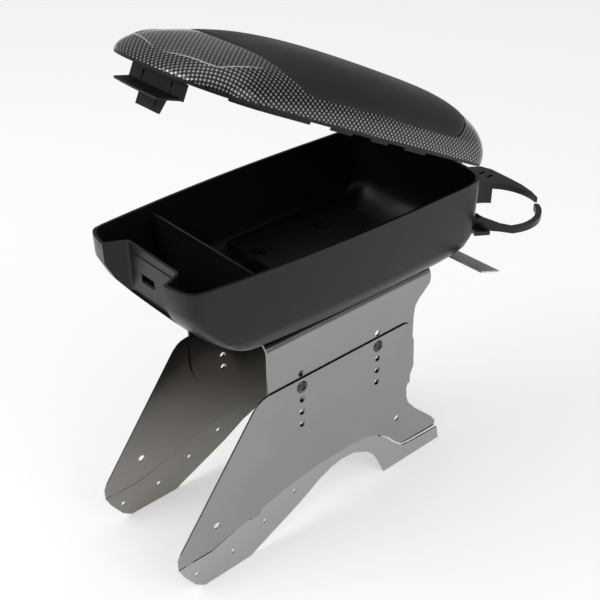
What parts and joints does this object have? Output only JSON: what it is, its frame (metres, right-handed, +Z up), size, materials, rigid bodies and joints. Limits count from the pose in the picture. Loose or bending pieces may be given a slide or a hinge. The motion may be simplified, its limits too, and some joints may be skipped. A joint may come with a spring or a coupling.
{
  "type": "car centre armrest",
  "caption": "Car centre armrest: storage box with a hinged padded lid and sprung latch, rear cup holder arms, steel saddle and slotted steel legs.",
  "frame": {"origin": "on the floor under the feet, midway between the legs and midway front to rear", "axes": "+X to the object's right seen from its front, +Y from the latch end to the cup holder, +Z up"},
  "size_m": [0.22, 0.4508, 0.4631],
  "materials": {
    "black_abs": "satin black moulded plastic",
    "carbon_look_abs": "glossy carbon-look moulding",
    "black_vinyl": "matte black padded vinyl",
    "dark_nickel_steel": "smooth dark nickel plating",
    "zinc_steel": "bright zinc plating",
    "screw_steel": "plated steel",
    "cup_holder_abs": "matte black moulded plastic"
  },
  "bodies": {
    "base": {"box_tub": "black_abs", "divider": "black_abs", "saddle_bracket": "dark_nickel_steel", "left_leg": "dark_nickel_steel", "right_leg": "dark_nickel_steel", "leg_screws": "screw_steel", "leg_nuts": "screw_steel", "deck_screws": "screw_steel", "deck_nuts": "screw_steel", "hinge_pins": "screw_steel", "cup_bracket": "cup_holder_abs", "cup_screws": "screw_steel", "cup_pins": "screw_steel", "cross_strap": "zinc_steel", "strap_screws": "screw_steel"},
    "lid": {"lid_shell": "carbon_look_abs", "lid_pad": "black_vinyl", "lid_base": "black_abs", "latch_pin": "screw_steel", "latch_spring": "screw_steel"},
    "latch": {"latch_lever": "black_abs"},
    "broad_arm": {"cup_arm_left": "cup_holder_abs"},
    "slim_arm": {"cup_arm_right": "cup_holder_abs"}
  },
  "joints": [
    {"name": "lid_hinge", "type": "hinge", "parent": "base", "child": "lid", "pos_m": [0, 0.135, 0.3], "axis": [-1, 0, 0], "range_deg": [-25.8, 62]},
    {"name": "latch_pivot", "type": "hinge", "parent": "lid", "child": "latch", "pos_m": [0, -0.16036, 0.44034], "axis": [-1, 0, 0], "range_deg": [-8, 10], "stiffness_Nm_per_rad": 0.2},
    {"name": "broad_arm_pivot", "type": "hinge", "parent": "base", "child": "broad_arm", "pos_m": [-0.006, 0.1365, 0.245], "axis": [0, 0, 1], "range_deg": [0, 20]},
    {"name": "slim_arm_pivot", "type": "hinge", "parent": "base", "child": "slim_arm", "pos_m": [0.066, 0.1315, 0.245], "axis": [0, 0, -1], "range_deg": [0, 25]}
  ]
}
